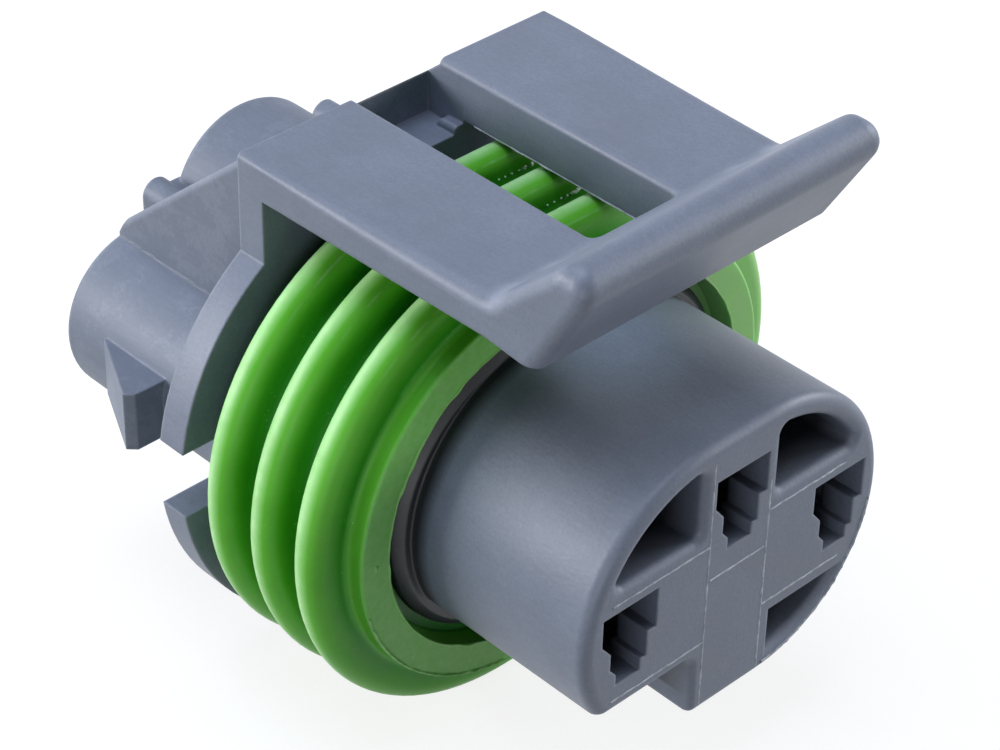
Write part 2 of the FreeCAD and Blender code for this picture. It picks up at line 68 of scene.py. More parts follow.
def place_camera():
    """Rows of the view are right, up and back; back = (sin a cos e, -cos a cos e, sin e)."""
    a, e, r = CAMERA_AZIMUTH, CAMERA_ELEVATION, CAMERA_ROLL
    back = Vector((math.sin(a) * math.cos(e), -math.cos(a) * math.cos(e), math.sin(e)))
    level = Vector((0, 0, 1)).cross(back).normalized()
    rise = back.cross(level)
    right = math.cos(r) * level + math.sin(r) * rise
    up = -math.sin(r) * level + math.cos(r) * rise
    data = bpy.data.cameras.new("camera")
    data.sensor_width = SENSOR_WIDTH
    data.lens = SENSOR_WIDTH * FOCAL_OVER_WIDTH
    data.clip_start = NEAREST_SEEN
    camera = bpy.data.objects.new("camera", data)
    turn = Matrix((right, up, back)).transposed().to_4x4()
    camera.matrix_world = Matrix.Translation(CAMERA_PLACE) @ turn
    bpy.context.collection.objects.link(camera)
    bpy.context.scene.camera = camera
    return camera


camera = place_camera()
print("lens:", round(camera.data.lens, 2), "mm")

# %% [markdown]
# ## Colours and nodes
#
# A colour picked on a screen is sRGB, but a renderer adds up light, which is linear. So colours are
# written as sRGB hex and one function turns them to linear. Nodes could be placed by hand in the
# shader editor. In a script one small function adds any node, so a material reads as a list.

# %% Colours from sRGB hex


def linear(code):
    """sRGB hex to linear RGBA: c/12.92 up to 0.04045, else ((c + 0.055)/1.055)^2.4."""
    values = [int(code[i:i + 2], 16) / 255 for i in (1, 3, 5)]
    out = [c / 12.92 if c <= 0.04045 else ((c + 0.055) / 1.055) ** 2.4 for c in values]
    return (*out, 1.0)


WHITE = linear("#ffffff")
print("screen grey #808080 is", round(linear("#808080")[0], 3), "in linear light")

# %% The one helper that adds a node


def add(tree, kind, *values, out=0, **named):
    """Add a shader node, set it up, and return one of its outputs.

    The values go to its first inputs in order. A name in small letters is a setting of the node, i
    with a number is an input by its place, and a name with a capital is an input by its label, with
    _ for a space. A socket is linked, and anything else becomes the input's own value. A MapRange
    node takes a value, two limits and what it gives at each, which is 0 and 1 unless it is told.
    """
    node = tree.nodes.new("ShaderNode" + kind)
    inputs = dict(enumerate(values))
    for name, value in named.items():
        if name[0].isupper():
            inputs[name.replace("_", " ")] = value
        elif name[1:].isdigit():
            inputs[int(name[1:])] = value
        else:
            setattr(node, name, value)
    for key, value in inputs.items():
        if isinstance(value, bpy.types.NodeSocket):
            tree.links.new(value, node.inputs[key])
        else:
            node.inputs[key].default_value = value
    return node.outputs[out] if len(node.outputs) else node


# %% Materials, places, masks, coats and noises


def new_material(name):
    """A material with an empty node tree; returns both."""
    material = bpy.data.materials.new(name)
    material.use_nodes = True
    material.node_tree.nodes.clear()
    return material, material.node_tree


def millimetres(tree):
    """Object coordinates times 1000, so that every size in a material reads in millimetres."""
    place = add(tree, "TexCoord", out="Object")
    return add(tree, "VectorMath", place, Scale=1000.0, operation="SCALE")


def product(tree, *masks):
    """All the masks multiplied together; each is a socket or a number, the first a socket."""
    total = masks[0]
    for mask in masks[1:]:
        total = add(tree, "Math", total, mask, operation="MULTIPLY")
    return total


def painted(tree, colour, coats):
    """Coats laid over a colour one after another; each is (mask, hex), opaque where the mask is 1."""
    for mask, code in coats:
        colour = add(tree, "Mix", mask, i6=colour, i7=linear(code), data_type="RGBA", out=2)
    return colour


def patterns(tree, place, table):
    """A noise for each row: features per millimetre, detail, roughness and, if any, a stretch."""
    made = {}
    for name, (per_mm, detail, rough, *stretch) in table.items():
        where = place
        if stretch:
            where = add(tree, "VectorMath", place, stretch[0], operation="MULTIPLY")
        made[name] = add(
            tree, "TexNoise", Vector=where, Scale=per_mm, Detail=detail, Roughness=rough
        )
    return made


# %% [markdown]
# ## Masks in millimetres
#
# A mask is a number from 0 to 1 that says where a coat goes. It could be painted as an image, but a
# mask worked out from Object coordinates stays sharp from near by and follows the real measures. A
# Bevel node finds sharp edges, because there its normal turns away from the true one. The other
# masks are distances: from a point, from the obround's spine, or from the split at the latch's root,
# where two solids stand for one moulding and no worn edge may show.

# %% Edges, points and the spine
EDGE_SAMPLES = 6
FLAT_AGREES, CORNER_AGREES = 0.995, 0.80


def edge_mask(tree, radius):
    """The bevelled normal, and 1 on sharp edges: 1 - (bevelled normal . true normal), stretched."""
    bevel = add(tree, "Bevel", Radius=radius * MM, samples=EDGE_SAMPLES)
    true = add(tree, "NewGeometry", out="True Normal")
    agree = add(tree, "VectorMath", bevel, true, operation="DOT_PRODUCT", out="Value")
    return bevel, add(tree, "MapRange", agree, FLAT_AGREES, CORNER_AGREES)


def near(tree, place, point, inner, outer, most):
    """most within inner mm of a point, falling to 0 at outer mm."""
    gap = add(tree, "VectorMath", place, point, operation="DISTANCE", out="Value")
    return add(tree, "MapRange", gap, inner, outer, most, 0.0)


def spine_distance(tree, place, pitch):
    """Distance from the obround's spine in mm: the length of (max(|y| - pitch, 0), z)."""
    _, y, z = add(tree, "SeparateXYZ", place).node.outputs
    across = add(tree, "Math", y, operation="ABSOLUTE")
    beyond = add(tree, "Math", across, pitch, operation="SUBTRACT")
    side = add(tree, "Math", beyond, 0.0, operation="MAXIMUM")
    section = add(tree, "CombineXYZ", side, z)
    return add(tree, "VectorMath", section, operation="LENGTH", out="Value")


# %% The split at the latch's root
ROOT_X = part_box("latch")[0][0] / MM
PLATE_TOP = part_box("housing")[1][2] / MM
PLATE_THICKNESS = 1.55
SPLIT_REACH = (0.35, 0.45)
UNDER_PLATE = PLATE_TOP - PLATE_THICKNESS - 0.05


def away_from_split(tree, place):
    """0 in the plate's thickness within 0.4 mm of the latch's root, 1 elsewhere."""
    x, _, z = add(tree, "SeparateXYZ", place).node.outputs
    offset = add(tree, "Math", x, ROOT_X, operation="SUBTRACT")
    gap = add(tree, "Math", offset, operation="ABSOLUTE")
    aside = add(tree, "MapRange", gap, *SPLIT_REACH)
    below = add(tree, "MapRange", z, UNDER_PLATE - 0.1, UNDER_PLATE, 1.0, 0.0)
    return add(tree, "Math", aside, below, operation="MAXIMUM")


print("root at x", round(ROOT_X, 2), "mm, plate top at z", round(PLATE_TOP, 2), "mm")

# %% [markdown]
# Deep openings look almost black on the real object. Soft lamps all round reach into them more than
# they should, and a narrower light would change the outside too. So a last coat darkens them. It
# starts a little inside each mouth and ends before the flange, so the outside and the rear stay
# clean.

# %% The hollows
# Each: the spine's half length, then where the mask is 0 and where it is 1 by distance from the
# spine, by x behind the mouth, and by x before the far end.
HOLLOWS = {
    "openings": (1.75, (5.75, 5.6), (-0.25, -1.9), (-16.0, -14.0)),
    "root_ring": (2.2, (7.7, 7.5), (-8.5, -9.2), (-12.0, -11.0)),
}


def hollows(tree, place):
    """1 deep in the nose's openings and in the ring round its root: the larger of two products."""
    x = add(tree, "SeparateXYZ", place)
    deep = 0.0
    for pitch, *limits in HOLLOWS.values():
        values = (spine_distance(tree, place, pitch), x, x)
        ramps = [add(tree, "MapRange", value, *ends) for value, ends in zip(values, limits)]
        deep = add(tree, "Math", deep, product(tree, *ramps), operation="MAXIMUM")
    return deep


print("hollows:", sorted(HOLLOWS))

# %% [markdown]
# ## Grey plastic
#
# The housing is glass-filled nylon, straight from a finely textured mould. To the eye that is a
# satin, slightly bluish grey with a slow mottle, streaks along the mould's pull and paler rubbed
# edges, whose paleness is partly a painted edge highlight. Behind the flange it is rougher, painted
# darker as shade, and shows ragged flow marks. Pale patches at the lift tab's creases are painted
# highlights. An image could carry all this, but noises on Object coordinates need no unwrapping, and
# they run on across the latch's root without a seam.

# %% The nylon's measures
# Features per millimetre, detail, roughness, stretch. A mottle patch is about 4.5 mm across and a
# flow mark 3 mm. The real grain and orange peel are finer than the render shows, so they are drawn
# as coarse as 0.14 mm and 0.2 mm.
NYLON_PATTERNS = {
    "mottle": (0.22, 4.0, 0.6),
    "flow": (0.34, 9.0, 0.72),
    "grain": (7.0, 4.0, 0.65),
    "streak": (1.3, 4.0, 0.65, (0.5, 3.0, 3.0)),
    "peel": (5.0, 3.0, 0.55, (0.7, 1.3, 1.3)),
    "rub": (1.1, 3.0, 0.5),
    "patch": (0.9, 3.0, 0.5),
}
SPECKS_PER_MM = 1.6
EDGE_RADIUS = 0.16
FLANGE_BACK = (-20.5, -19.0)
DARK_SPOT_PLACE = (-1.9, -6.1, 15.3)
# Where painted highlights sit at the lift tab's creases.
CREASE_HIGHLIGHT_ENDS = [(-5.5, -7.2, 13.2), (-5.2, -4.9, 13.2), (-5.2, 4.9, 13.2), (-5.5, 7.2, 13.2)]
HOLLOW_SHADE = 0.95
NYLON_IOR = 1.5
print("nylon patterns:", len(NYLON_PATTERNS), "crease ends:", len(CREASE_HIGHLIGHT_ENDS))

# %% The nylon's coats


def skin_and_shade_coats(tree, place, pattern, behind):
    """Mottle, flow marks and painted shade behind the flange, grain, drawn streaks, pale specks."""
    flow = add(tree, "MapRange", pattern["flow"], 0.51, 0.545, 0.0, 0.5)
    speck = add(tree, "TexVoronoi", Vector=place, Scale=SPECKS_PER_MM)
    return [
        (add(tree, "MapRange", pattern["mottle"], 0.35, 0.65), "#757d8c"),
        (product(tree, behind, flow), "#8d94a2"),
        # painted shade: the part behind the flange is painted darker
        (product(tree, behind, 0.45), "#5d6573"),
        (add(tree, "MapRange", pattern["grain"], 0.35, 0.65, 0.0, 0.4), "#5c6472"),
        (add(tree, "MapRange", pattern["streak"], 0.35, 0.7, 0.0, 0.16), "#7f8795"),
        (add(tree, "MapRange", speck, 0.02, 0.045, 0.4, 0.0), "#a2a8b2"),
    ]


def wear_spot_and_highlight_coats(tree, place, pattern, edges):
    """Rubbed edges, paler partly as a painted edge highlight, a darker spot on the lift tab, and
    painted highlights at the tab's creases.
    """
    rub = add(tree, "MapRange", pattern["rub"], 0.3, 0.7, 0.2, 0.65)
    patchy = add(tree, "MapRange", pattern["patch"], 0.3, 0.7, 0.5, 1.0)
    coats = [
        # rubbed edges, paler partly as a painted edge highlight
        (product(tree, edges, rub), "#a0a5ad"),
        # a darker spot on the lift tab
        (near(tree, place, DARK_SPOT_PLACE, 0.2, 0.75, 0.45), "#575a60"),
    ]
    # painted highlight: pale patches where the tab's creases catch the light
    for end in CREASE_HIGHLIGHT_ENDS:
        crease_highlight = near(tree, place, end, 0.15, 1.0, 0.5)
        coats.append((product(tree, crease_highlight, patchy), "#b3b9c6"))
    return coats


# %% The nylon


def grey_plastic():
    """Height = peel + 0.45 grain + 0.35 streak; roughness 0.40 to 0.50 by mottle, more behind."""
    material, tree = new_material("grey_plastic")
    place = millimetres(tree)
    pattern = patterns(tree, place, NYLON_PATTERNS)
    behind = add(tree, "MapRange", add(tree, "SeparateXYZ", place), *FLANGE_BACK, 1.0, 0.2)
    bevel, edges = edge_mask(tree, EDGE_RADIUS)
    open_edge = away_from_split(tree, place)
    exposed = product(tree, edges, open_edge)
    shade = product(tree, hollows(tree, place), HOLLOW_SHADE)
    coats = skin_and_shade_coats(tree, place, pattern, behind) + wear_spot_and_highlight_coats(tree, place, pattern, exposed)
    colour = painted(tree, linear("#6b7382"), coats + [(shade, "#0f1114")])
    flat = add(tree, "NewGeometry", out="Normal")
    turned = add(tree, "Mix", open_edge, i4=flat, i5=bevel, data_type="VECTOR", out=1)
    normal = add(tree, "VectorMath", turned, operation="NORMALIZE")
    height = add(tree, "Math", pattern["grain"], 0.45, pattern["peel"], operation="MULTIPLY_ADD")
    height = add(tree, "Math", pattern["streak"], 0.35, height, operation="MULTIPLY_ADD")
    bump = add(tree, "Bump", Strength=0.30, Distance=0.03 * MM, Height=height, Normal=normal)
    rough = add(tree, "MapRange", pattern["mottle"], 0.3, 0.7, 0.40, 0.50)
    rough = add(tree, "Math", behind, 0.08, rough, operation="MULTIPLY_ADD")
    add(tree, "OutputMaterial", add(
        tree, "BsdfPrincipled", Base_Color=colour, Roughness=rough, Normal=bump, IOR=NYLON_IOR,
    ))
    return material


GREY = grey_plastic()
print(GREY.name, "has", len(GREY.node_tree.nodes), "nodes")

# %% [markdown]
# ## Flash of the same nylon
#
# Where the mould's plates meet, a film of nylon squeezes out. It is so thin that light comes through
# and it looks pale. A see-through shader would do it, but at a twentieth of a millimetre a paler
# opaque one looks the same and costs less.

# %% The nylon's flash
FLASH_PATTERNS = {"blotch": (3.0, 3.0, 0.5), "skin": (12.0, 3.0, 0.5)}


def flash_plastic():
    """Pale nylon, blotched every third of a millimetre; roughness 0.45 to 0.6 by blotch."""
    material, tree = new_material("grey_plastic_flash")
    pattern = patterns(tree, millimetres(tree), FLASH_PATTERNS)
    thin = add(tree, "MapRange", pattern["blotch"], 0.35, 0.65)
    colour = painted(tree, linear("#868d99"), [(thin, "#b9bec4")])
    bump = add(tree, "Bump", Strength=0.3, Distance=0.02 * MM, Height=pattern["skin"])
    rough = add(tree, "MapRange", pattern["blotch"], 0.3, 0.7, 0.45, 0.6)
    add(tree, "OutputMaterial", add(
        tree, "BsdfPrincipled", Base_Color=colour, Roughness=rough, Normal=bump,
    ))
    return material


FLASH = flash_plastic()
print(FLASH.name, "has", len(FLASH.node_tree.nodes), "nodes")

# %% [markdown]
# ## Green silicone
#
# The ring seal and the cable seals are moulded silicone. It has a soft gloss, and light enters it
# slightly. Its green is painted deep in the valleys as shade and lighter outward, with a painted
# highlight and pale bloom on the rear shoulders of the ribs, a haze on the collar's face and painted
# light on the collar's right side. A gradient along one axis would miss the obround shape, so the
# distance from the seal's spine drives it.

# %% The seal's measures
# Features per millimetre, detail, roughness. A cloud is about 3 mm across. The skin's own texture is
# finer than the render shows and is drawn as coarse as 0.11 mm.
SILICONE_PATTERNS = {
    "cloud": (0.3, 3.0, 0.5),
    "patch": (0.7, 4.0, 0.6),
    "haze": (3.0, 5.0, 0.6),
    "broken": (0.9, 3.0, 0.5),
    "sparse": (0.8, 2.0, 0.5),
    "wave": (1.2, 2.0, 0.5),
    "skin": (9.0, 3.0, 0.5),
}
SEAL_PITCH = 2.2
RIB_CREST = 10.7
RIB_RADIUS = 0.75
RIB_SPACING = 2.62
SEAL_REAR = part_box("ring_seal")[0][0] / MM
CRESTS = [SEAL_REAR + RIB_RADIUS + RIB_SPACING * number for number in range(3)]
WITNESS_OFFSET = 0.55
DUST_PER_MM = 3.4
SILICONE_IOR = 1.42
print("rib crests at x", [round(crest, 2) for crest in CRESTS])

# %% The silicone's colour, with painted shade in the valleys


def silicone_body_and_valley_shade(tree, place, cloud, radius):
    """Deep to light green from 9.1 to 10.5 mm off the spine, the deep green being painted shade in
    the valleys; light on the collar; both clouded.
    """
    x = add(tree, "SeparateXYZ", place)
    collar = add(tree, "MapRange", x, CRESTS[2] + 0.7, CRESTS[2] + 0.9, 0.0, 0.8)
    # painted shade: the green darkens towards the valleys, where shade falls
    rising = add(tree, "MapRange", radius, 9.1, 10.5)
    outward = add(tree, "Math", rising, collar, operation="MAXIMUM")
    deep = painted(tree, linear("#0c7c08"), [(cloud, "#16860e")])
    light = painted(tree, linear("#5cb428"), [(cloud, "#69be38")])
    return add(tree, "Mix", outward, i6=deep, i7=light, data_type="RGBA", out=2)


def witness_lines(tree, x, radius):
    """1 on a hair line along each rib, 0.55 mm in front of its crest, where mould plates met."""
    total = 0.0
    for crest in CRESTS:
        offset = add(tree, "Math", x, crest + WITNESS_OFFSET, operation="SUBTRACT")
        gap = add(tree, "Math", offset, operation="ABSOLUTE")
        line = add(tree, "MapRange", gap, 0.02, 0.05, 1.0, 0.0)
        total = add(tree, "Math", total, line, operation="MAXIMUM")
    return product(tree, total, add(tree, "MapRange", radius, 9.9, 10.0))


# %% The silicone's coats


def painted_light_and_haze_coats(tree, place, pattern, radius):
    """Painted highlight with pale bloom on the crests' rear shoulders, haze on the collar's face,
    painted light on the right side.
    """
    x, y, _ = add(tree, "SeparateXYZ", place).node.outputs
    facing_x = add(tree, "SeparateXYZ", add(tree, "NewGeometry", out="Normal"))
    crest = add(tree, "MapRange", radius, RIB_CREST - 0.5, RIB_CREST - 0.1)
    rear = add(tree, "MapRange", facing_x, 0.45, -0.20)
    patch = add(tree, "MapRange", pattern["patch"], 0.3, 0.7, 0.55, 0.95)
    face = add(tree, "MapRange", x, CRESTS[2] + 1.5, CRESTS[2] + 1.61)
    haze = add(tree, "MapRange", pattern["haze"], 0.3, 0.7, 0.30, 0.55)
    front = add(tree, "MapRange", x, CRESTS[2], CRESTS[2] + 0.5)
    right = add(tree, "MapRange", y, 2.0, 6.5, 0.0, 0.7)
    return [
        # painted highlight with pale bloom: crests paler on the rear shoulders that face the key lamp
        (product(tree, crest, rear, patch), "#b9e6a6"),
        (product(tree, face, haze), "#9ed08c"),
        # painted light: the seal's front and collar painted paler towards the right
        (product(tree, front, right), "#a4e088"),
    ]


def fine_coats(tree, place, pattern, radius):
    """Broken witness lines near the top, and specks of dust, mostly low in the valleys."""
    x, _, z = add(tree, "SeparateXYZ", place).node.outputs
    broken = add(tree, "MapRange", pattern["broken"], 0.4, 0.6, 0.0, 0.4)
    top = add(tree, "MapRange", z, 7.5, 9.0)
    dust = add(tree, "TexVoronoi", Vector=place, Scale=DUST_PER_MM)
    speck = add(tree, "MapRange", dust, 0.06, 0.12, 0.7, 0.0)
    low = add(tree, "MapRange", radius, 9.3, 9.9, 1.0, 0.25)
    sparse = add(tree, "MapRange", pattern["sparse"], 0.5, 0.6)
    return [
        (product(tree, witness_lines(tree, x, radius), broken, top), "#9fcf8f"),
        (product(tree, speck, low, sparse), "#a9d3a0"),
    ]


# %% The silicone


def green_silicone():
    """Height = 0.5 wave + 0.3 skin; roughness 0.36 to 0.46 by cloud; light enters 0.8 mm."""
    material, tree = new_material("green_silicone")
    place = millimetres(tree)
    pattern = patterns(tree, place, SILICONE_PATTERNS)
    radius = spine_distance(tree, place, SEAL_PITCH)
    cloud = add(tree, "MapRange", pattern["cloud"], 0.35, 0.65)
    body = silicone_body_and_valley_shade(tree, place, cloud, radius)
    coats = painted_light_and_haze_coats(tree, place, pattern, radius) + fine_coats(tree, place, pattern, radius)
    wave = product(tree, pattern["wave"], 0.5)
    height = add(tree, "Math", pattern["skin"], 0.3, wave, operation="MULTIPLY_ADD")
    bump = add(tree, "Bump", Strength=0.22, Distance=0.03 * MM, Height=height)
    rough = add(tree, "MapRange", cloud, 0.0, 1.0, 0.36, 0.46)
    add(tree, "OutputMaterial", add(
        tree, "BsdfPrincipled", Base_Color=painted(tree, body, coats), Roughness=rough,
        Normal=bump, IOR=SILICONE_IOR, Specular_IOR_Level=0.35, Subsurface_Weight=0.35,
        Subsurface_Radius=(0.3, 1.0, 0.2), Subsurface_Scale=0.8 * MM,
    ))
    return material


GREEN = green_silicone()
print(GREEN.name, "has", len(GREEN.node_tree.nodes), "nodes")

# %% [markdown]
# Torn crumbs of silicone carry dust and scatter light inside, so they are almost white. They are a
# fraction of a millimetre across, so one blotchy colour is enough.

# %% The crumbs' silicone
CRUMB_PATTERNS = {"blotch": (6.0, 3.0, 0.5), "skin": (10.0, 3.0, 0.5)}


def crumb_silicone():
    """Pale green to white by blotch, matt, with a strong fine bump."""
    material, tree = new_material("green_silicone_crumb")
    pattern = patterns(tree, millimetres(tree), CRUMB_PATTERNS)
    colour = painted(tree, linear("#bfe0ba"), [(pattern["blotch"], "#ffffff")])
    bump = add(tree, "Bump", Strength=0.4, Distance=0.03 * MM, Height=pattern["skin"])
    add(tree, "OutputMaterial", add(
        tree, "BsdfPrincipled", Base_Color=colour, Roughness=0.5, Normal=bump,
    ))
    return material


CRUMB = crumb_silicone()
print(CRUMB.name, "has", len(CRUMB.node_tree.nodes), "nodes")

# %% [markdown]
# ## Tinned strip
#
# The terminals are rolled copper alloy with bright tin. Rolling leaves streaks along the strip, and
# tin dulls in patches. A mirror-like metal would look like chrome, so the streaks stretch along X
# and vary the roughness.

# %% The tin
TIN_PATTERNS = {"streak": (1.5, 3.0, 0.5, (0.4, 6.0, 6.0)), "cloud": (0.8, 3.0, 0.5)}


def tinned_strip():
    """Metal, warm grey by cloud; roughness 0.22 to 0.42 and height by streak."""
    material, tree = new_material("tinned_terminal")
    pattern = patterns(tree, millimetres(tree), TIN_PATTERNS)
    colour = painted(tree, linear("#b5b1a6"), [(pattern["cloud"], "#cbc8bf")])
    rough = add(tree, "MapRange", pattern["streak"], 0.3, 0.7, 0.22, 0.42)
    bump = add(tree, "Bump", Strength=0.15, Distance=0.02 * MM, Height=pattern["streak"])
    add(tree, "OutputMaterial", add(
        tree, "BsdfPrincipled", Base_Color=colour, Metallic=1.0, Roughness=rough, Normal=bump,
    ))
    return material


TIN = tinned_strip()
print(TIN.name, "has", len(TIN.node_tree.nodes), "nodes")

# %% [markdown]
# ## Dressing the solids
#
# Each solid is one material on the real object, so one material takes the place of all its slots.
# The housing and the latch share theirs, because they are one moulding.

# %% Give each solid its finish


def dress(name, material):
    """Give one solid a single material in all its slots."""
    node = nodes[name]
    node.data.materials.clear()
    node.data.materials.append(material)


for name in nodes:
    if name in ("housing", "latch"):
        dress(name, GREY)
    elif name.startswith("terminal"):
        dress(name, TIN)
    else:
        dress(name, GREEN)
print("dressed:", len(nodes))

# %% [markdown]
# ## Mould flash
#
# Where the mould's inserts meet, a thin uneven ridge of plastic is left. A bump in the material could
# fake it, but a real ridge catches the light and breaks the outline. Each ridge is a surface over
# (s, t): a path point, plus width w(s) t sideways, plus height h(s) (1 - t^2) outward.

# %% Make a piece
RIDGE_ACROSS = 5
RAGGED_WAVES = 9
RAGGED_TURNS = 2.7


def make_piece(name, points, faces, material, body="housing", smooth=True):
    """An object at the origin with its place in its mesh; the points are in mm."""
    mesh = bpy.data.meshes.new(name)
    mesh.from_pydata((points * MM).tolist(), [], faces)
    mesh.polygons.foreach_set("use_smooth", np.full(len(faces), smooth))
    mesh.materials.append(material)
    piece = bpy.data.objects.new(name, mesh)
    bpy.context.collection.objects.link(piece)
    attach(piece, body)
    return piece


def ragged(count, seed):
    """A smooth uneven curve between 0 and 1: a sum of sines with seeded phases, scaled."""
    rng = np.random.default_rng(seed)
    s = np.linspace(0, 1, count)
    total = np.zeros(count)
    for k in range(1, RAGGED_WAVES + 1):
        size = rng.uniform(0.5, 1.0) / math.sqrt(k)
        total += size * np.sin(2 * math.pi * (k * RAGGED_TURNS * s + rng.uniform()))
    return (total - total.min()) / (total.max() - total.min())


def ridge(name, path, side, out, width, height, seed, material, body="housing"):
    """P(s, t) = path(s) + w(s) t side(s) + h(s) (1 - t^2) out(s), t from -1 to 1, in mm."""
    count = len(path)
    side, out = (np.broadcast_to(np.array(v, float), path.shape) for v in (side, out))
    t = np.linspace(-1, 1, RIDGE_ACROSS)
    w = width * (0.6 + 0.8 * ragged(count, seed))
    h = height * (0.15 + 1.1 * ragged(count, seed + 1))
    points = (
        path[:, None, :] + (w[:, None] * t)[..., None] * side[:, None, :]
        + (h[:, None] * (1 - t**2))[..., None] * out[:, None, :]
    )
    a = (np.arange(count - 1)[:, None] * RIDGE_ACROSS + np.arange(RIDGE_ACROSS - 1)).ravel()
    faces = np.stack([a, a + 1, a + RIDGE_ACROSS + 1, a + RIDGE_ACROSS], 1).tolist()
    return make_piece(name, points.reshape(-1, 3), faces, material, body)


# %% [markdown]
# The nose's front face shows seven straight lines of flash along its bars and its column. They
# could be one piece, but one for each keeps its two ends easy to set. The upright ones are fainter
# on the real face, so they are lower here.

# %% Lines on the nose's face
POINT_SPACING = 0.12
LINE_HALF_WIDTH = 0.045
LEVEL_HEIGHT, UPRIGHT_HEIGHT = 0.05, 0.03
FACE_LINES = {
    "bar_top_left": ((-6.9, 1.85), (-1.66, 1.85)),
    "bar_top_right": ((1.66, 1.85), (6.15, 1.85)),
    "column_middle": ((-1.55, 0.12), (1.55, 0.12)),
    "bar_bottom_left": ((-6.8, -2.92), (-1.66, -2.92)),
    "bar_bottom_right": ((1.66, -2.92), (6.2, -2.92)),
    "column_left": ((-1.66, 5.9), (-1.66, -6.2)),
    "column_right": ((1.66, 3.4), (1.66, -6.2)),
}


def straight(start, end):
    """Points from start to end about 0.12 mm apart, and at least four."""
    start, end = np.array(start, float), np.array(end, float)
    count = max(int(np.linalg.norm(end - start) / POINT_SPACING), 4)
    return start + np.linspace(0, 1, count)[:, None] * (end - start)


def face_line(name, start, end, height, seed):
    """A ridge on the nose's front face between two (y, z) points."""
    path = straight((0, *start), (0, *end))
    along = path[-1] - path[0]
    forward = np.array([1.0, 0, 0])
    side = np.cross(forward, along / np.linalg.norm(along))
    ridge(name, path, side, forward, LINE_HALF_WIDTH, height, seed, FLASH)


for number, (name, (start, end)) in enumerate(FACE_LINES.items()):
    upright = abs(start[0] - end[0]) < 0.01
    height = UPRIGHT_HEIGHT if upright else LEVEL_HEIGHT
    face_line(f"flash_{name}", start, end, height, 10 + 3 * number)
print("face lines:", len(FACE_LINES))

# %% [markdown]
# The seal's collar has a torn rim of flash round its bore and a little on its outer lower edge, and
# the nose has one on its lower right rim. These follow an obround: an arc's point is pushed out by
# the spine's half length on the side that it is on.

# %% Torn rims
COLLAR_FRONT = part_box("ring_seal")[1][0] / MM
BORE_EDGE = 7.55
COLLAR_EDGE = 8.9
RIM_HALF_WIDTH = 0.05
COLLAR_POINTS = 420
# Each: radius, start and end in degrees, height, seed.
TORN = {
    "bore_left": (BORE_EDGE, 100, 265, 0.10, 41),
    "bore_right": (BORE_EDGE, -85, 80, 0.08, 47),
    "collar_low": (COLLAR_EDGE, 195, 262, 0.12, 53),
}


def obround_arc(x, pitch, radius, start, end, count):
    """(x, r cos a + pitch sign(cos a), r sin a) from start to end degrees, and the way inward."""
    angle = np.radians(np.linspace(start, end, count))
    c, s = np.cos(angle), np.sin(angle)
    path = np.stack([np.full(count, x), radius * c + pitch * np.sign(c), radius * s], 1)
    inward = np.stack([np.zeros(count), -c, -s], 1)
    return path, inward


for name, (radius, start, end, height, seed) in TORN.items():
    path, inward = obround_arc(COLLAR_FRONT, SEAL_PITCH, radius, start, end, COLLAR_POINTS)
    ridge(f"flash_{name}", path, inward, (1, 0, 0), RIM_HALF_WIDTH, height, seed,
          GREEN)
path, inward = obround_arc(-0.02, 1.75, 6.12, -88, -8, 400)
ridge("flash_rim_low", path, inward, (1, 0, 0), RIM_HALF_WIDTH, 0.09, 57, FLASH)
print("torn rims:", len(TORN) + 1)

# %% [markdown]
# ## Crumbs, a nub and the last flash
#
# Small torn crumbs of silicone cling to the front flanks of two ribs, where the latch's window shows
# them, and a small nub stands on the left of the collar. A sphere would look like a bead, so each is
# a mound over (s, a), whose reach varies with the angle.

# %% Crumbs and the nub
MOUND_SIDES = 16
MOUND_RINGS = np.array([0.35, 0.75, 1.0])
CRUMB_RADIUS = RIB_CREST - RIB_RADIUS - 0.3
CRUMB_HEIGHT = 0.08
# Each: rib, y, size, stretch across.
CRUMBS = [
    (0, 3.5, 0.17, 1.3), (0, 3.1, 0.12, 1.8), (0, 2.8, 0.06, 1.2), (0, 2.4, 0.05, 1.6),
    (0, 2.05, 0.05, 1.0), (0, 1.7, 0.06, 1.0), (1, 3.4, 0.20, 1.9), (1, 2.95, 0.08, 1.0),
    (1, 2.6, 0.05, 1.6), (1, 2.2, 0.05, 1.2), (1, 1.85, 0.06, 1.0),
]


def scab(name, centre, first, second, size, height, seed, material):
    """P(s, a) = centre + r(a) s (cos a e + sin a f) + h (1 - s^2) out, with out along e x f."""
    rng = np.random.default_rng(seed)
    a = np.linspace(0, 2 * math.pi, MOUND_SIDES + 1)[:-1]
    reach = size * (0.7 + 0.3 * rng.uniform(-1, 1, MOUND_SIDES))
    s = MOUND_RINGS
    centre, first, second = (np.array(v, float) for v in (centre, first, second))
    out = np.cross(first, second)
    out = out / np.linalg.norm(out)
    spread = np.cos(a)[:, None] * first + np.sin(a)[:, None] * second
    rings = centre + (s[:, None] * reach)[..., None] * spread
    rings = rings + (height * (1 - s**2))[:, None, None] * out
    points = np.vstack([rings.reshape(-1, 3), centre + height * out])
    pairs = [(k, (k + 1) % MOUND_SIDES) for k in range(MOUND_SIDES)]
    faces = [(len(s) * MOUND_SIDES, k, after) for k, after in pairs]
    for ring in range(0, (len(s) - 1) * MOUND_SIDES, MOUND_SIDES):
        beyond = ring + MOUND_SIDES
        faces += [(ring + k, beyond + k, beyond + after, ring + after) for k, after in pairs]
    return make_piece(name, points, faces, material)


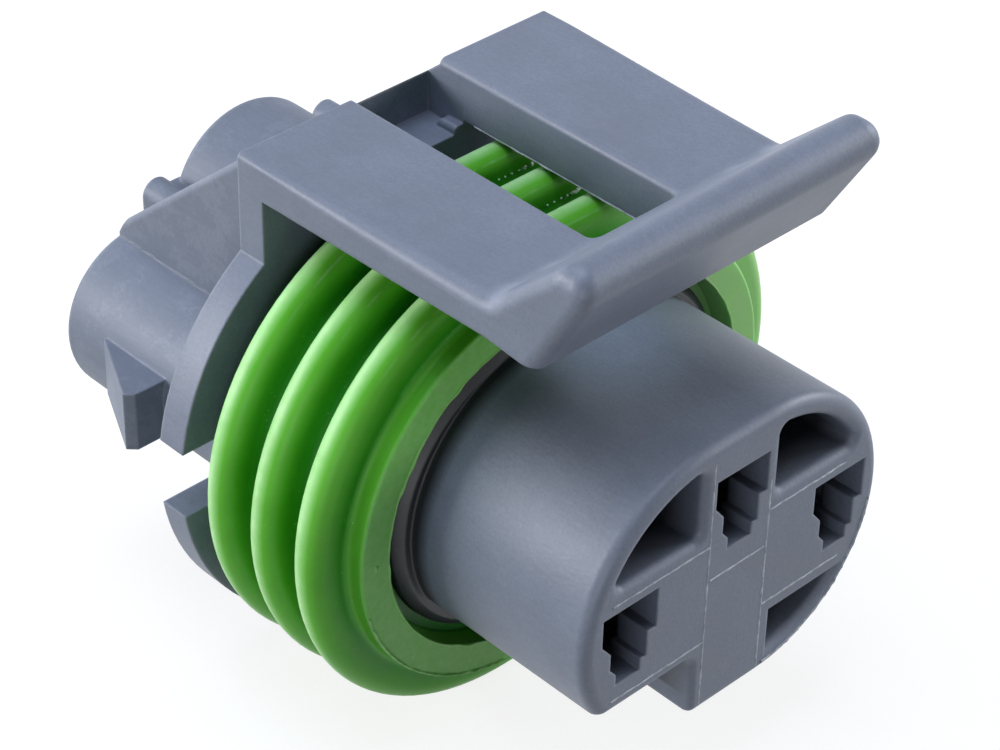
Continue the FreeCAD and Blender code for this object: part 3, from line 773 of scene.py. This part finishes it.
for number, (rib, y, size, stretch) in enumerate(CRUMBS):
    height_up = math.sqrt(CRUMB_RADIUS**2 - max(y - SEAL_PITCH, 0) ** 2)
    foot = (CRESTS[rib] + RIB_RADIUS, y, height_up)
    scab(f"crumb_{number}", foot, (0, stretch, 0), (0, 0, 1), size, CRUMB_HEIGHT, 70 + number,
         CRUMB)
scab("collar_nub", (COLLAR_FRONT - 0.02, -10.41, 0.0), (0, 1, 0), (0, 0, 1.1), 0.22, 0.09, 91,
     GREEN)
print("crumbs:", len(CRUMBS))

# %% [markdown]
# A hair of flash runs along the foot of each gusset, and one along the foot of the window's right
# wall. That one rides on the latch, because it lifts with it.

# %% Flash on the gussets and the window
GUSSET_SIDE, GUSSET_FOOT = 6.89, 3.98
GUSSET_BACK, GUSSET_FRONT = -29.15, -19.6
GUSSET_FLASH = 0.05
WINDOW_HALF_WIDTH = 2.28
WINDOW_BACK, WINDOW_FRONT = -17.4, -4.4
LIP_WIDTH = 0.9
LIP_DEPTH = 2.25
LIP_FOOT = PLATE_TOP - LIP_DEPTH
for side in (-1, 1):
    y = side * GUSSET_SIDE
    path = straight((GUSSET_BACK, y, GUSSET_FOOT), (GUSSET_FRONT, y, GUSSET_FOOT))
    ridge(f"flash_gusset_{side + 1}", path, (0, 0, 1), (0, side, 0), GUSSET_FLASH, GUSSET_FLASH,
          60 + side, GREY)
path = straight((WINDOW_BACK, WINDOW_HALF_WIDTH, LIP_FOOT),
                (WINDOW_FRONT, WINDOW_HALF_WIDTH, LIP_FOOT))
ridge("flash_window", path, (0, 0, 1), (0, -1, 0), 0.03, 0.05, 64, FLASH,
      body="latch")
print("window flash", round(WINDOW_FRONT - WINDOW_BACK, 2), "mm long")

# %% [markdown]
# ## The bend at the latch's root
#
# The real latch bends where it leaves the shoulders. Here it turns on a line along its top, so a
# thin slit opens below that line as it lifts. A piece that stretches between the two could close it,
# but a rigid wedge of the same plastic is simpler. It stands still, it lies wholly inside the plate
# at rest, and at full lift its front lies on the plate's end.

# %% Wedges in the slit
FULL_LIFT = math.radians(10)
SHOULDER_HALF_WIDTH = 8.28
SKIN = 0.03
EDGE_CLEARANCE = 0.3
LIP_OVERLAP = 0.05


def root_wedge(name, y_low, y_high, shallow, deep):
    """A prism across y: at depth d below the hinge its front is at x = root + d tan(full lift)."""
    corners = []
    for y in (y_low + SKIN, y_high - SKIN):
        for depth in (shallow, deep - SKIN):
            corners.append((ROOT_X - SKIN, y, PLATE_TOP - depth))
            corners.append((ROOT_X + depth * math.tan(FULL_LIFT), y, PLATE_TOP - depth))
    faces = [(0, 4, 6, 2), (1, 3, 7, 5), (0, 2, 3, 1), (4, 5, 7, 6), (0, 1, 5, 4), (2, 6, 7, 3)]
    make_piece(name, np.array(corners), faces, GREY, smooth=False)


for hand, sign in (("left", -1), ("right", 1)):
    low, high = sorted((sign * WINDOW_HALF_WIDTH, sign * SHOULDER_HALF_WIDTH))
    root_wedge(f"bend_{hand}", low, high, EDGE_CLEARANCE, PLATE_THICKNESS)
    low, high = sorted((sign * WINDOW_HALF_WIDTH, sign * (WINDOW_HALF_WIDTH + LIP_WIDTH)))
    root_wedge(f"bend_lip_{hand}", low, high, PLATE_THICKNESS - LIP_OVERLAP, LIP_DEPTH)
print("the lowest wedge reaches", round(LIP_DEPTH * math.tan(FULL_LIFT), 2), "mm past the root")

# %% [markdown]
# ## The studio
#
# A pale floor lies under the ring seal. Its colour is a middle grey, so it throws little light up,
# and it glows just enough to end white where the camera or a reflection sees it, with the object's
# shadow kept. White paint alone would need more light on the object, which would wash it out.

# %% The floor
FLOOR_HEIGHT = -10.7 * MM
FLOOR_HALF = 1.5
FLOOR_GLOW = 0.80


def seen_directly(tree):
    """1 for camera, glossy and transmission rays, 0 for the rays that light the object."""
    rays = add(tree, "LightPath").node.outputs
    first = add(tree, "Math", rays["Is Camera Ray"], rays["Is Glossy Ray"], operation="MAXIMUM")
    return add(tree, "Math", first, rays["Is Transmission Ray"], operation="MAXIMUM")


def floor_paper():
    """Matt paper with a faint tooth, one hump every 1.7 mm."""
    material, tree = new_material("floor_paper")
    pattern = patterns(tree, millimetres(tree), {"tooth": (0.6, 3.0, 0.5)})
    colour = painted(tree, linear("#808080"), [(pattern["tooth"], "#868686")])
    glow = product(tree, seen_directly(tree), FLOOR_GLOW)
    add(tree, "OutputMaterial", add(
        tree, "BsdfPrincipled", Base_Color=colour, Roughness=0.9,
        Emission_Color=WHITE, Emission_Strength=glow,
    ))
    return material


def floor():
    """A wide flat sheet under the object."""
    half, z = FLOOR_HALF, FLOOR_HEIGHT
    mesh = bpy.data.meshes.new("floor")
    corners = [(-half, -half, z), (half, -half, z), (half, half, z), (-half, half, z)]
    mesh.from_pydata(corners, [], [(0, 1, 2, 3)])
    mesh.materials.append(floor_paper())
    sheet = bpy.data.objects.new("floor", mesh)
    bpy.context.collection.objects.link(sheet)


floor()
print("floor at z", round(FLOOR_HEIGHT / MM, 2), "mm")

# %% [markdown]
# Six soft panels light the object at a plain level. The key, low at the left rear, the one overhead
# and the one on the right do most of the work. Three weak ones open the shadows: behind, at the
# right front and at the left front. The sky adds a trace of even light, and is plain white where it
# is seen. One large lamp would be simpler, but it leaves the nose flat.

# %% Lamps and sky
LAMP_AIM = (-14, 0, 0)
# Each: place and size in mm, power in watts, colour.
LAMPS = {
    "key": ((-240, -245, 85), (190, 120), 0.96, "#fbfcff"),
    "back": ((-340, -40, 60), (140, 120), 0.16, "#f6faff"),
    "right": ((90, 310, 130), (140, 120), 0.70, "#f2f6ff"),
    "top": ((-60, -40, 330), (240, 240), 0.90, "#dde8ff"),
    "fill": ((190, 190, 85), (110, 90), 0.15, "#fffaf4"),
    "front": ((170, -230, 35), (90, 60), 0.16, "#fbfcff"),
}
SKY_STRENGTH = 0.03
SKY_COLOUR = "#eaf0ff"


def soft_light(name, place, size, power, colour):
    """A rectangular area light at place that faces the connector's middle."""
    data = bpy.data.lights.new(name, "AREA")
    data.shape = "RECTANGLE"
    data.size, data.size_y = size[0] * MM, size[1] * MM
    data.energy = power
    data.color = linear(colour)[:3]
    light = bpy.data.objects.new(name, data)
    start = Vector(place) * MM
    light.location = start
    light.rotation_euler = (Vector(LAMP_AIM) * MM - start).to_track_quat("-Z", "Y").to_euler()
    bpy.context.collection.objects.link(light)


def sky():
    """Even light from all round; seen directly it is plain white."""
    world = bpy.data.worlds.new("sky")
    world.use_nodes = True
    tree = world.node_tree
    lit = tree.nodes["Background"]
    lit.inputs[0].default_value = linear(SKY_COLOUR)
    lit.inputs[1].default_value = SKY_STRENGTH
    white = add(tree, "Background", WHITE, 1.0)
    both = add(tree, "MixShader", seen_directly(tree), lit.outputs[0], white)
    tree.links.new(both, tree.nodes["World Output"].inputs[0])
    bpy.context.scene.world = world


for name, (place, size, power, colour) in LAMPS.items():
    soft_light(name, place, size, power, colour)
sky()
bpy.context.scene.view_settings.view_transform = "Standard"
print("lamps:", len(LAMPS), "with", round(sum(row[2] for row in LAMPS.values()), 2), "W in all")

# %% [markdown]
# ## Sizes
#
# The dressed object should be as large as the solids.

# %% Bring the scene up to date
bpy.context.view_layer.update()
